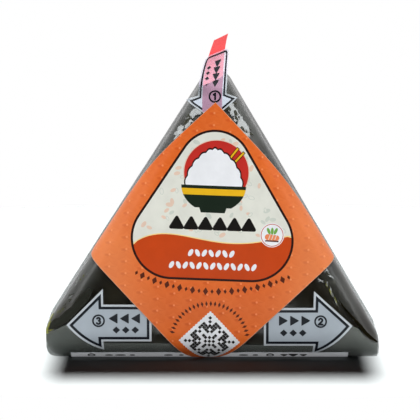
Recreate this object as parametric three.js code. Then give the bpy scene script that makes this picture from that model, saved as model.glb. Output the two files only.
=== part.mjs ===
// A triangular rice ball in a seaweed wrap, sealed in clear film, standing on its narrow base.
// Millimetres. X runs to the right across the front, Y from the front to the back, Z up.
// The origin is under the middle of the pack, on the surface it stands on.
import * as THREE from 'three';

// The pack seen from the front is a triangle with rounded corners. Its sloped sides, drawn on, meet
// the surface it stands on at these two places.
const sharpLeftX = -53.9;
const sharpRightX = 52;
const leftSlope = THREE.MathUtils.degToRad(57.3);
const rightSlope = THREE.MathUtils.degToRad(59.5);
const cornerRadius = { right: 4.5, apex: 5.2, left: 7.1 };
const tightestRadius = 2.4;

// Its edges are quarters of a rounded box: inset is their width on the front, depth how far back
// they reach. A power of 1 makes a quarter ellipse, and a lower one keeps it flat for longer and
// then turns it more tightly.
const thickness = 35;
const slopedEdge = { inset: 8, depth: 7, power: 0.67 };
const baseEdge = { inset: 9, depth: 9, power: 0.8 };
const crown = 0.9;

// Labels are drawn thicker than paper and stand clear of the film by a small gap.
const gap = 0.3;
const paper = 0.4;
const proud = gap + paper;
const bodyY = proud / 2;
const undersideZ = proud;

// The front label is a square set on its corner, bent round three edges of the pack.
const label = { side: 56.15, x: -0.57, z: 34.34, turn: THREE.MathUtils.degToRad(-2.2), cells: 26 };

// The base label runs under the pack and a little way up the front and the back.
const baseLabel = { left: -40, right: 39, rise: 2, tipX: -2.25, notchHalf: 8, columns: 12, rows: 14 };

// The film ends in a tail that leaves the front just under the apex and stands up. The tear tape
// comes out behind it. Both lean to the right and turn about their length as they rise.
const tail = { fromZ: 77.4, toZ: 88, width: 8, back: 0, steps: 10 };
const tape = { fromZ: 82.2, toZ: 92.2, width: 5.6, back: 1.1, steps: 10 };
const foot = { y: -17.75, z: 77.3 };
const standing = { y: -11.4, within: 7.7, slant: 0.3 };
const bow = { fromZ: 74, perMm: 0.0085 };
const twist = { fromZ: 74, toZ: 94, turn: THREE.MathUtils.degToRad(53) };
const ribbonColumns = 4;

const edgeSteps = 10;
const arcSteps = 8;
const bendRings = 7;
const capRings = 5;
const lengthSteps = 64;

const colour = {
  seaweed: 0x1d1c12,
  labelOrange: 0xd9612c,
  labelWhite: 0xd4d8d8,
  printedFilm: 0xc8d1da,
  tapeRed: 0xfd5f61,
};

// The three edges, anticlockwise from the base. Each has a start, a direction and an outward normal.
const apexX = (sharpLeftX * Math.tan(leftSlope) + sharpRightX * Math.tan(rightSlope))
  / (Math.tan(leftSlope) + Math.tan(rightSlope));
const apexZ = (apexX - sharpLeftX) * Math.tan(leftSlope);
const sharp = {
  left: new THREE.Vector2(sharpLeftX + undersideZ / Math.tan(leftSlope), undersideZ),
  right: new THREE.Vector2(sharpRightX - undersideZ / Math.tan(rightSlope), undersideZ),
  apex: new THREE.Vector2(apexX, apexZ),
};

function makeEdge(start, end, bend) {
  const along = end.clone().sub(start).normalize();
  return { start, along, out: new THREE.Vector2(along.y, -along.x), bend };
}

const edges = [
  makeEdge(sharp.left, sharp.right, baseEdge),
  makeEdge(sharp.right, sharp.apex, slopedEdge),
  makeEdge(sharp.apex, sharp.left, slopedEdge),
];
const radii = [cornerRadius.right, cornerRadius.apex, cornerRadius.left];

// How far a point lies inside an edge.
function inside(edge, point) {
  return -point.clone().sub(edge.start).dot(edge.out);
}

// Where two edges meet once each is moved in by its own distance.
function meet(edgeA, inA, edgeB, inB) {
  const a = edgeA.start.clone().addScaledVector(edgeA.out, -inA);
  const b = edgeB.start.clone().addScaledVector(edgeB.out, -inB);
  const step = b.sub(a).dot(edgeB.out) / edgeA.along.dot(edgeB.out);
  return a.addScaledVector(edgeA.along, step);
}

// One ring of the outline, moved in by its own distance at each edge. Corners tighten as it shrinks.
// base says how much of a point's bend is the base's: 1 on the base edge, 0 on the sloped ones.
function ring(insets) {
  const corners = radii.map((radius, i) => {
    const next = (i + 1) % 3;
    const inset = (insets[i] + insets[next]) / 2;
    const spare = radius - tightestRadius;
    const r = tightestRadius + spare * Math.exp(-inset / spare);
    return { centre: meet(edges[i], insets[i] + r, edges[next], insets[next] + r), r };
  });
  const points = [];
  for (let i = 0; i < 3; i += 1) {
    const next = (i + 1) % 3;
    const before = corners[(i + 2) % 3];
    const corner = corners[i];
    const from = before.centre.clone().addScaledVector(edges[i].out, before.r);
    const to = corner.centre.clone().addScaledVector(edges[i].out, corner.r);
    const baseHere = i === 0 ? 1 : 0;
    const baseNext = next === 0 ? 1 : 0;
    for (let k = 0; k < edgeSteps; k += 1) {
      points.push({ at: from.clone().lerp(to, k / edgeSteps), base: baseHere });
    }
    const startAngle = edges[i].out.angle();
    const turn = (edges[next].out.angle() - startAngle + 2 * Math.PI) % (2 * Math.PI);
    for (let k = 0; k < arcSteps; k += 1) {
      const angle = startAngle + (turn * k) / arcSteps;
      const spoke = new THREE.Vector2(Math.cos(angle), Math.sin(angle)).multiplyScalar(corner.r);
      const base = THREE.MathUtils.lerp(baseHere, baseNext, k / arcSteps);
      points.push({ at: corner.centre.clone().add(spoke), base });
    }
  }
  return points;
}

const bendStart = edges.map((edge) => edge.bend.inset);
const centre = new THREE.Vector2().add(sharp.left).add(sharp.right).add(sharp.apex).divideScalar(3);

// The front swells gently: nothing at the bends, the whole crown in the middle.
function swell(point) {
  const shares = edges.map((edge, i) => Math.max(0, inside(edge, point) - bendStart[i]));
  const sum = shares[0] + shares[1] + shares[2];
  const bubble = Math.min(1, (27 * shares[0] * shares[1] * shares[2]) / sum ** 3 || 0);
  return crown * bubble * bubble * (3 - 2 * bubble);
}

// A bend's profile at an angle: how far in from the outline, and how far back from the front.
function insetAt({ inset, power }, phi) {
  return inset * (1 - Math.sin(phi) ** power);
}

function depthAt({ depth, power }, phi) {
  return depth * (1 - Math.max(0, Math.cos(phi)) ** power);
}

// Turns a grid of points (rows of equal length, each row a closed loop) into a closed mesh with poles.
function closedRings(rows, firstPole, lastPole) {
  const count = rows[0].length;
  const positions = [firstPole, ...rows.flat(), lastPole].flatMap((p) => [p.x, p.y, p.z]);
  const index = [];
  const last = 1 + rows.length * count;
  for (let k = 0; k < count; k += 1) {
    const after = (k + 1) % count;
    index.push(0, 1 + k, 1 + after);
    for (let row = 0; row < rows.length - 1; row += 1) {
      const a = 1 + row * count + k;
      const b = 1 + row * count + after;
      index.push(a, a + count, b, b, a + count, b + count);
    }
    index.push(last, last - count + after, last - count + k);
  }
  return finish(positions, index);
}

// Turns a sheet (a grid of points with a top and a bottom skin) into a closed mesh with a rim.
function closedSheet(bottom, top) {
  const rows = bottom.length;
  const columns = bottom[0].length;
  const positions = [...bottom.flat(), ...top.flat()].flatMap((p) => [p.x, p.y, p.z]);
  const skin = rows * columns;
  const index = [];
  const quad = (a, b, c, d) => index.push(a, b, c, a, c, d);
  for (let i = 0; i < rows - 1; i += 1) {
    for (let j = 0; j < columns - 1; j += 1) {
      const a = i * columns + j;
      quad(a, a + columns, a + columns + 1, a + 1);
      quad(skin + a, skin + a + 1, skin + a + columns + 1, skin + a + columns);
    }
  }
  for (let j = 0; j < columns - 1; j += 1) {
    const a = (rows - 1) * columns + j;
    quad(j, j + 1, skin + j + 1, skin + j);
    quad(a + 1, a, skin + a, skin + a + 1);
  }
  for (let i = 0; i < rows - 1; i += 1) {
    const a = i * columns;
    const b = a + columns - 1;
    quad(a + columns, a, skin + a, skin + a + columns);
    quad(b, b + columns, skin + b + columns, skin + b);
  }
  return finish(positions, index);
}

// Builds the geometry with its faces turned outwards.
function finish(positions, index) {
  const geometry = new THREE.BufferGeometry();
  geometry.setAttribute('position', new THREE.Float32BufferAttribute(positions, 3));
  const corner = (i) => new THREE.Vector3(...positions.slice(3 * i, 3 * i + 3));
  let volume = 0;
  for (let i = 0; i < index.length; i += 3) {
    volume += corner(index[i]).dot(corner(index[i + 1]).cross(corner(index[i + 2])));
  }
  if (volume < 0) index.reverse();
  geometry.setIndex(index);
  geometry.computeVertexNormals();
  return geometry;
}

function sub(name, geometry, hex, roughness) {
  const material = new THREE.MeshStandardMaterial({ color: hex, roughness, metalness: 0 });
  const mesh = new THREE.Mesh(geometry, material);
  mesh.name = name;
  return mesh;
}

// The wrapped rice ball: rings over the front, round the bend, and the same again behind.
function bodyGeometry() {
  const half = thickness / 2;
  const flat = ring(bendStart);
  const front = [];
  for (let k = capRings - 1; k >= 0; k -= 1) {
    const share = 1 - k / capRings;
    front.push(flat.map(({ at }) => {
      const point = centre.clone().lerp(at, share);
      return new THREE.Vector3(point.x, -half - swell(point), point.y);
    }));
  }
  for (let k = 1; k <= bendRings; k += 1) {
    const phi = (Math.PI / 2) * (k / bendRings);
    const insets = edges.map((edge) => insetAt(edge.bend, phi));
    front.push(ring(insets).map(({ at, base }) => {
      const depth = THREE.MathUtils.lerp(slopedEdge.depth, baseEdge.depth, base);
      const power = THREE.MathUtils.lerp(slopedEdge.power, baseEdge.power, base);
      return new THREE.Vector3(at.x, -half + depthAt({ depth, power }, phi), at.y);
    }));
  }
  const mirror = (p) => new THREE.Vector3(p.x, -p.y, p.z);
  const rows = [...front, ...front.map((row) => row.map(mirror)).reverse()];
  rows.flat().forEach((p) => { p.y += bodyY; });
  const pole = new THREE.Vector3(centre.x, -half - swell(centre), centre.y);
  const backPole = mirror(pole);
  pole.y += bodyY;
  backPole.y += bodyY;
  return closedRings(rows, pole, backPole);
}

// Length along a bend's profile, as a table that bendAt reads backwards.
function lengthTable(bend) {
  const table = [0];
  for (let k = 1; k <= lengthSteps; k += 1) {
    const before = (Math.PI / 2) * ((k - 1) / lengthSteps);
    const after = (Math.PI / 2) * (k / lengthSteps);
    const across = insetAt(bend, after) - insetAt(bend, before);
    const back = depthAt(bend, after) - depthAt(bend, before);
    table.push(table[k - 1] + Math.hypot(across, back));
  }
  return table;
}

const tables = new Map([slopedEdge, baseEdge].map((bend) => [bend, lengthTable(bend)]));

// The point of a bend that lies a length past its start: how far in from the outline and how deep,
// with the outward normal's share along the edge's own normal (out) and towards the front (ahead).
function bendAt(bend, length) {
  const table = tables.get(bend);
  const whole = table[lengthSteps];
  if (length >= whole) {
    return { inset: 0, depth: bend.depth + length - whole, out: 1, ahead: 0 };
  }
  const k = table.findIndex((value) => value > length) - 1;
  const share = (length - table[k]) / (table[k + 1] - table[k]);
  const phi = (Math.PI / 2) * ((k + share) / lengthSteps);
  const normal = new THREE.Vector2(
    Math.sin(phi) ** (2 - bend.power) / bend.inset,
    Math.cos(phi) ** (2 - bend.power) / bend.depth,
  ).normalize();
  return { inset: insetAt(bend, phi), depth: depthAt(bend, phi), out: normal.x, ahead: normal.y };
}

// Where a point of a flat sheet lands once the sheet is bent over the front of the pack.
function wrap(x, z, lift) {
  const point = new THREE.Vector2(x, z);
  const front = bodyY - thickness / 2;
  const edge = edges.find((one) => inside(one, point) < one.bend.inset);
  if (!edge) return new THREE.Vector3(x, front - swell(point) - lift, z);
  const past = edge.bend.inset - inside(edge, point);
  const bend = bendAt(edge.bend, past);
  point.addScaledVector(edge.out, edge.bend.inset - bend.inset - past + lift * bend.out);
  return new THREE.Vector3(point.x, front + bend.depth - lift * bend.ahead, point.y);
}

// The square front label as a grid along its two sides.
function frontLabelGeometry() {
  const half = label.side / 2;
  const axis = new THREE.Vector2(1, 0).rotateAround(new THREE.Vector2(), label.turn + Math.PI / 4);
  const across = new THREE.Vector2(-axis.y, axis.x);
  const skin = (lift) => {
    const rows = [];
    for (let i = 0; i <= label.cells; i += 1) {
      const row = [];
      for (let j = 0; j <= label.cells; j += 1) {
        const at = new THREE.Vector2(label.x, label.z)
          .addScaledVector(axis, -half + (label.side * i) / label.cells)
          .addScaledVector(across, -half + (label.side * j) / label.cells);
        row.push(wrap(at.x, at.y, lift));
      }
      rows.push(row);
    }
    return rows;
  };
  return closedSheet(skin(gap), skin(proud));
}

// The base label: columns across, rows from the front bend under the pack to the back bend.
// Its front edge has a notch where the front label's corner comes down.
function baseLabelGeometry() {
  const table = tables.get(baseEdge);
  const whole = table[lengthSteps];
  const riseAngle = Math.asin(1 - baseLabel.rise / baseEdge.inset);
  const riseStart = table[Math.round((riseAngle / (Math.PI / 2)) * lengthSteps)];
  const flatWidth = thickness - 2 * baseEdge.depth;
  const end = 2 * whole + flatWidth - riseStart;
  const { left, right, tipX, notchHalf, columns, rows } = baseLabel;
  const stops = [left, tipX - notchHalf, tipX, tipX + notchHalf, right];
  const places = [left];
  for (let k = 0; k < stops.length - 1; k += 1) {
    const parts = k === 1 || k === 2 ? 3 : columns;
    for (let m = 1; m <= parts; m += 1) places.push(THREE.MathUtils.lerp(stops[k], stops[k + 1], m / parts));
  }
  const front = bodyY - thickness / 2;
  const skin = (lift) => places.map((x) => {
    const start = riseStart + Math.max(0, notchHalf - Math.abs(x - tipX));
    const row = [];
    for (let k = 0; k <= rows; k += 1) {
      const length = THREE.MathUtils.lerp(start, end, k / rows);
      const back = length > whole + flatWidth / 2;
      const bend = bendAt(baseEdge, back ? 2 * whole + flatWidth - length : length);
      const y = bend.depth - lift * bend.ahead;
      const z = undersideZ + bend.inset - lift * bend.out;
      row.push(new THREE.Vector3(x, front + (back ? thickness - y : y), z));
    }
    return row;
  });
  return closedSheet(skin(gap), skin(proud));
}

// The middle of the tail at a height: it leaves the front bend and eases towards the upright.
function standAt(z) {
  const ease = Math.exp(-(z - foot.z) / standing.within);
  return new THREE.Vector3(
    bow.perMm * (z - bow.fromZ) ** 2,
    standing.y + (foot.y - standing.y) * ease,
    z,
  );
}

// A ribbon that follows the tail's middle, or runs a little behind it. Its top is cut on a slant.
function ribbonGeometry({ fromZ, toZ, width, back, steps }) {
  const skin = (side) => {
    const rows = [];
    for (let i = 0; i <= steps; i += 1) {
      const share = i / steps;
      const row = [];
      for (let j = 0; j <= ribbonColumns; j += 1) {
        const across = width * (j / ribbonColumns - 0.5);
        const z = THREE.MathUtils.lerp(fromZ, toZ, share) + standing.slant * across * share;
        const angle = twist.turn * THREE.MathUtils.smoothstep(z, twist.fromZ, twist.toZ);
        const facing = new THREE.Vector3(Math.sin(angle), -Math.cos(angle), 0);
        const point = standAt(z).addScaledVector(facing, (side * paper) / 2 - back);
        point.x += across * Math.cos(angle);
        point.y += across * Math.sin(angle);
        row.push(point);
      }
      rows.push(row);
    }
    return rows;
  };
  return closedSheet(skin(-1), skin(1));
}

const group = new THREE.Group();
group.add(
  sub('wrapped_body', bodyGeometry(), colour.seaweed, 0.35),
  sub('front_label', frontLabelGeometry(), colour.labelOrange, 0.6),
  sub('base_label', baseLabelGeometry(), colour.labelWhite, 0.6),
  sub('film_tail', ribbonGeometry(tail), colour.printedFilm, 0.3),
  sub('tear_tape', ribbonGeometry(tape), colour.tapeRed, 0.4),
);

export default group;
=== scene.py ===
import math

import bpy
import numpy as np
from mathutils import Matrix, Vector
from mathutils.geometry import delaunay_2d_cdt


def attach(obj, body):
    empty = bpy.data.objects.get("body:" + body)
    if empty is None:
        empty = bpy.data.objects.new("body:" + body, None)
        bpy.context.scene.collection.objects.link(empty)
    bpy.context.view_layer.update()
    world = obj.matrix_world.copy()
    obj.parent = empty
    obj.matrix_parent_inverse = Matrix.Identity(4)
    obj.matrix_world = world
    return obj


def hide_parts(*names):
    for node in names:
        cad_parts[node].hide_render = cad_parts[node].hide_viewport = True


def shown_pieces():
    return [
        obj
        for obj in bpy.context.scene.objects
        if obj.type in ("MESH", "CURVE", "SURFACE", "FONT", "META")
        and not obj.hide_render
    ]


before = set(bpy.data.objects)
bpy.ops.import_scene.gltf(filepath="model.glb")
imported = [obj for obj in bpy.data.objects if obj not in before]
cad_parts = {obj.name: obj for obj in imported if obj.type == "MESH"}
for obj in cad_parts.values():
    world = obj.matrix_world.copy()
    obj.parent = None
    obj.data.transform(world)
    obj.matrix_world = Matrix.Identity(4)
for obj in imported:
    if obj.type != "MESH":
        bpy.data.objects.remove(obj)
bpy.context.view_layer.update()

# A triangular rice ball in seaweed, sealed in clear film, with a square label on its front.
# Shapes are worked out in millimetres, X to the right, Y to the back, Z up; makeObject turns them to metres.
mm = 0.001

pack = dict(
    sharpLeft=-53.9,            # where the sloped sides, drawn on, meet the surface it stands on
    sharpRight=52.0,
    leftSlope=57.3,
    rightSlope=59.5,
    cornerRadius=(3.2, 5.2, 6.5),   # right, apex, left
    tightest=2.4,
    cornerEnds=(-47.9, 47.9),   # the folded corners end square here
    squareness=0.45,
    thickness=35.0,
    crown=0.9,
    bendInset=np.array([9.0, 8.0, 8.0]),    # base, right slope, left slope: width of the bend on the front
    bendDepth=np.array([9.0, 7.0, 7.0]),     # and how far back it reaches
    bendPower=np.array([0.8, 0.67, 0.67]),   # 1 is a quarter ellipse, less is flatter and turns tighter
    middleY=0.35,
    underside=0.3,
)
frontY = pack["middleY"] - pack["thickness"] / 2


# Shape of the pack

def unit(vector):
    return vector / np.linalg.norm(vector)


def smooth(low, high, value):
    # 0 below low, 1 above high, and the smooth cubic 3t^2 - 2t^3 between them
    t = np.clip((value - low) / (high - low), 0, 1)
    return t * t * (3 - 2 * t)


def packEdges():
    # the three edges of the outline, anticlockwise from the base: start, direction, outward normal
    leftTan = math.tan(math.radians(pack["leftSlope"]))
    rightTan = math.tan(math.radians(pack["rightSlope"]))
    apexX = (pack["sharpLeft"] * leftTan + pack["sharpRight"] * rightTan) / (leftTan + rightTan)
    apex = (apexX, (apexX - pack["sharpLeft"]) * leftTan)
    low = pack["underside"]
    left = (pack["sharpLeft"] + low / leftTan, low)
    right = (pack["sharpRight"] - low / rightTan, low)
    start = np.array([left, right, apex])
    along = np.array([unit(start[(i + 1) % 3] - start[i]) for i in range(3)])
    return start, along, np.stack([along[:, 1], -along[:, 0]], 1)


edgeStart, edgeAlong, edgeOut = packEdges()
middle = edgeStart.mean(0)


def insideBy(points):
    # how far each point lies inside each edge: minus the distance along the outward normal
    return -np.einsum("...ij,ij->...i", points[..., None, :] - edgeStart, edgeOut)


def swell(points):
    # the front's crown: a bubble that is 27abc/(a+b+c)^3 of the three distances past the bends
    share = np.maximum(0, insideBy(points) - pack["bendInset"])
    total = np.maximum(share.sum(-1), 1e-9)
    return pack["crown"] * smooth(0, 1, 27 * share.prod(-1) / total ** 3)


def cornerAt(i, insets):
    # the corner after edge i for rows of insets: its radius tightens as r = t + (R - t) exp(-inset/(R - t)),
    # and its centre is where both edges meet once each is moved in by its inset and r
    j = (i + 1) % 3
    spare = pack["cornerRadius"][i] - pack["tightest"]
    radius = pack["tightest"] + spare * np.exp(-(insets[:, i] + insets[:, j]) / 2 / spare)
    a = edgeStart[i] - edgeOut[i] * (insets[:, i] + radius)[:, None]
    b = edgeStart[j] - edgeOut[j] * (insets[:, j] + radius)[:, None]
    step = ((b - a) @ edgeOut[j]) / (edgeAlong[i] @ edgeOut[j])
    return a + edgeAlong[i] * step[:, None], radius


def packRings(insets, edgeShares, arcShares):
    # one ring of the outline for each row of insets: straight runs between the corners' arcs
    corners = [cornerAt(i, insets) for i in range(3)]
    pieces, bases = [], []
    for i in range(3):
        j = (i + 1) % 3
        before, r0 = corners[i - 1]
        centre, r1 = corners[i]
        a = (before + edgeOut[i] * r0[:, None])[:, None]
        b = (centre + edgeOut[i] * r1[:, None])[:, None]
        pieces.append(a + (b - a) * edgeShares[None, :, None])
        bases.append(np.full(len(edgeShares), float(i == 0)))
        first = math.atan2(edgeOut[i, 1], edgeOut[i, 0])
        turn = (math.atan2(edgeOut[j, 1], edgeOut[j, 0]) - first) % (2 * math.pi)
        angle = first + turn * arcShares
        spoke = np.stack([np.cos(angle), np.sin(angle)], -1)
        pieces.append(centre[:, None] + spoke * r1[:, None, None])
        bases.append((i == 0) + ((j == 0) - float(i == 0)) * arcShares)
    return np.concatenate(pieces, 1), np.concatenate(bases)


def packSurface(columns, arcColumns, capRows, bendRows, sideRows):
    # rows over the front, round the bend, along the side, and the same behind: inset (1 - sin^p phi)
    # and depth (1 - cos^p phi) on the bend, p its power, and the cap shrinks towards the middle
    edgeShares = 0.5 - 0.5 * np.cos(math.pi * np.arange(columns) / columns)
    arcShares = np.arange(arcColumns) / arcColumns
    half = pack["thickness"] / 2
    phi = math.pi / 2 * np.arange(1, bendRows + 1) / bendRows
    flat, _ = packRings(pack["bendInset"][None], edgeShares, arcShares)
    share = np.sin(math.pi / 2 * np.arange(1, capRows + 1) / capRows)[:, None, None]
    cap = middle + (flat - middle) * share
    bend, base = packRings(insetAt(phi[:, None], slice(None)), edgeShares, arcShares)
    depth, power = [pack[k][1] + (pack[k][0] - pack[k][1]) * base for k in ("bendDepth", "bendPower")]
    rows = [np.stack([cap[..., 0], -half - swell(cap), cap[..., 1]], -1)]
    y = -half + depth * (1 - np.maximum(0, np.cos(phi))[:, None] ** power)
    rows.append(np.stack([bend[..., 0], y, bend[..., 1]], -1))
    front = np.concatenate(rows)
    across = np.linspace(0, 1, sideRows + 2)[1:-1, None]
    side = np.repeat(front[-1:], sideRows, 0)
    side[..., 1] = front[-1, :, 1] * (1 - 2 * across)
    back = front[::-1] * (1, -1, 1)
    whole = np.concatenate([front, side, back])
    poles = np.array([(middle[0], facing * (half + swell(middle)), middle[1]) for facing in (-1, 1)])
    whole[..., 0] = squared(whole[..., 0])
    whole[..., 1] += pack["middleY"]
    poles[:, 1] += pack["middleY"]
    return whole, poles


def squared(x):
    # x held softly between the two corner ends: a smooth minimum and maximum, k log(1 + exp(./k))
    left, right = pack["cornerEnds"]
    k = pack["squareness"]
    x = x - k * np.logaddexp(0, (x - right) / k)
    return x + k * np.logaddexp(0, (left - x) / k)


def insetAt(phi, edge):
    # how far in from the outline an edge's bend is at an angle
    return pack["bendInset"][edge] * (1 - np.sin(phi) ** pack["bendPower"][edge])


def depthAt(phi, edge):
    # and how far back from the front
    return pack["bendDepth"][edge] * (1 - np.maximum(0, np.cos(phi)) ** pack["bendPower"][edge])


def gridNormals(rows):
    # outward normals of a closed grid: the cross product of its two directions
    down = np.gradient(rows, axis=0)
    around = np.roll(rows, -1, 1) - np.roll(rows, 1, 1)
    normal = np.cross(around, down)
    normal /= np.maximum(np.linalg.norm(normal, axis=-1, keepdims=True), 1e-12)
    outward = np.sum(normal * (rows - rows.mean((0, 1)))) > 0
    return normal if outward else -normal


def bendTable(edge, steps=512):
    # length along the bend's profile at even angles, for reading backwards
    phi = np.linspace(0, math.pi / 2, steps)
    lengths = np.hypot(np.diff(insetAt(phi, edge)), np.diff(depthAt(phi, edge)))
    return np.concatenate([[0], np.cumsum(lengths)])


bendTables = [bendTable(edge) for edge in range(3)]


def bendAt(edge, length):
    # a length past a bend's start: inset left, depth, and the normal's shares outward and ahead
    table = bendTables[edge]
    phi = np.interp(length, table, np.linspace(0, math.pi / 2, len(table)))
    over = np.maximum(0, length - table[-1])
    power = 2 - pack["bendPower"][edge]
    out = np.sin(phi) ** power / pack["bendInset"][edge]
    ahead = np.maximum(0, np.cos(phi)) ** power / pack["bendDepth"][edge]
    size = np.hypot(out, ahead)
    return insetAt(phi, edge), depthAt(phi, edge) + over, out / size, ahead / size


def wrapFront(points, lift):
    # a flat sheet bent over the front: past a bend's start its length runs along the bend's arc
    inside = insideBy(points)
    result = np.column_stack([points[:, 0], frontY - swell(points) - lift, points[:, 1]])
    free = np.ones(len(points), bool)
    for edge in range(3):
        past = pack["bendInset"][edge] - inside[:, edge]
        here = free & (past > 0)
        inset, depth, out, ahead = bendAt(edge, past[here])
        shift = pack["bendInset"][edge] - inset - past[here] + lift * out
        moved = points[here] + edgeOut[edge] * shift[:, None]
        result[here] = np.column_stack([moved[:, 0], frontY + depth - lift * ahead, moved[:, 1]])
        free &= ~here
    return result


def wrapBase(points, lift):
    # a strip under the pack: x stays, and the second number is the length from the front bend's start
    whole = bendTables[0][-1]
    flat = pack["thickness"] - 2 * pack["bendDepth"][0]
    behind = points[:, 1] > whole + flat / 2
    length = np.where(behind, 2 * whole + flat - points[:, 1], points[:, 1])
    inset, depth, out, ahead = bendAt(0, length)
    y = depth - lift * ahead
    y = np.where(behind, pack["thickness"] - y, y)
    return np.column_stack([points[:, 0], frontY + y, pack["underside"] + inset - lift * out])


def frontDepth(points, halvings=30):
    # y of the front seen straight on: the ring that passes through the point is found by halving
    low, high = np.zeros(len(points)), np.full(len(points), math.pi / 2)
    for _ in range(halvings):
        phi = (low + high) / 2
        outside = ringDistance(points, phi) > 0
        low = np.where(outside, phi, low)
        high = np.where(outside, high, phi)
    return frontY + depthAt(high, 1) - swell(points)


def ringDistance(points, phi):
    # distance outside the rounded triangle that the bends make at an angle
    insets = insetAt(phi[:, None], slice(None))
    distance = (insets - insideBy(points)).max(-1)
    for i in range(3):
        centre, radius = cornerAt(i, insets)
        away = points - centre
        here = (away @ edgeAlong[i] > 0) & (away @ edgeAlong[(i + 1) % 3] < 0)
        distance = np.where(here, np.hypot(away[:, 0], away[:, 1]) - radius, distance)
    return distance


def latticeNoise(points, cell, seed):
    # smooth noise from -1 to 1: random values on a cubic lattice, blended by smooth()
    size = 32
    table = np.random.default_rng(seed).uniform(-1, 1, (size, size, size))
    place = points / cell
    low = np.floor(place).astype(int)
    t = smooth(0, 1, place - low)
    result = 0
    for corner in range(8):
        step = np.array([corner & 1, corner >> 1 & 1, corner >> 2 & 1])
        index = (low + step) % size
        weight = np.where(step, t, 1 - t).prod(-1)
        result = result + weight * table[index[..., 0], index[..., 1], index[..., 2]]
    return result


# Meshes

def cross(a, b):
    return a[:, 0] * b[:, 1] - a[:, 1] * b[:, 0]


def signedVolume(points, faces):
    # six times the volume: the sum of a . (b x c) over triangles, with quads cut in two
    tri = np.array([f[:3] for f in faces] + [(f[0], f[2], f[3]) for f in faces if len(f) == 4])
    a, b, c = points[tri[:, 0]], points[tri[:, 1]], points[tri[:, 2]]
    return np.sum(a * np.cross(b, c))


def inScene(name, data):
    made = bpy.data.objects.new(name, data)
    bpy.context.scene.collection.objects.link(made)
    return made


def makeObject(name, points, faces, materials, slots=None, uv=None, fields=None, sharp=None):
    # points in millimetres; faces are turned outwards if the closed mesh has a negative volume
    if signedVolume(points - points.mean(0), faces) < 0:
        faces = [f[::-1] for f in faces]
    mesh = bpy.data.meshes.new(name)
    mesh.from_pydata((points * mm).tolist(), [], faces)
    for material in materials:
        mesh.materials.append(material)
    if slots is not None:
        mesh.polygons.foreach_set("material_index", np.asarray(slots, np.int32))
    if uv is not None:
        corners = np.empty(len(mesh.loops), np.int32)
        mesh.loops.foreach_get("vertex_index", corners)
        mesh.uv_layers.new(name="sheet").uv.foreach_set("vector", uv[corners].astype(np.float32).ravel())
    for field, values in (fields or {}).items():
        mesh.attributes.new(field, "FLOAT", "POINT").data.foreach_set("value", values.astype(np.float32))
    mesh.polygons.foreach_set("use_smooth", np.ones(len(mesh.polygons), bool))
    if sharp is not None:
        mesh.set_sharp_from_angle(angle=math.radians(sharp))
    mesh.update()
    piece = inScene(name, mesh)
    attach(piece, "root")
    return piece


def closedGrid(rows, poles):
    # points and faces of rows of closed rings with a pole at each end
    count, columns = rows.shape[:2]
    ids = np.arange(count * columns).reshape(count, columns)
    after = np.roll(ids, -1, 1)
    quads = np.stack([ids[:-1], ids[1:], after[1:], after[:-1]], -1).reshape(-1, 4)
    first, last = count * columns, count * columns + 1
    fans = [(first, a, b) for a, b in zip(ids[0], after[0])]
    fans += [(last, b, a) for a, b in zip(ids[-1], after[-1])]
    return np.concatenate([rows.reshape(-1, 3), poles]), quads.tolist() + fans


def insidePolygon(points, polygon):
    # the even-odd rule: how many of the polygon's edges lie to the right of each point
    a, b = polygon, np.roll(polygon, -1, 0)
    x, y = points[:, :1], points[:, 1:]
    crosses = (a[:, 1] > y) != (b[:, 1] > y)
    rise = np.where(b[:, 1] == a[:, 1], 1e-12, b[:, 1] - a[:, 1])
    return (crosses & (x < a[:, 0] + (y - a[:, 1]) / rise * (b[:, 0] - a[:, 0]))).sum(1) % 2 == 1


def divided(polygon, step):
    # the same polygon, anticlockwise, with its edges cut into lengths of at most step
    polygon = np.asarray(polygon, float)
    if cross(polygon, np.roll(polygon, -1, 0)).sum() < 0:
        polygon = polygon[::-1]
    parts = []
    for a, b in zip(polygon, np.roll(polygon, -1, 0)):
        count = max(1, math.ceil(np.linalg.norm(b - a) / step))
        parts.append(a + (b - a) * (np.arange(count) / count)[:, None])
    return np.concatenate(parts)


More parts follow.
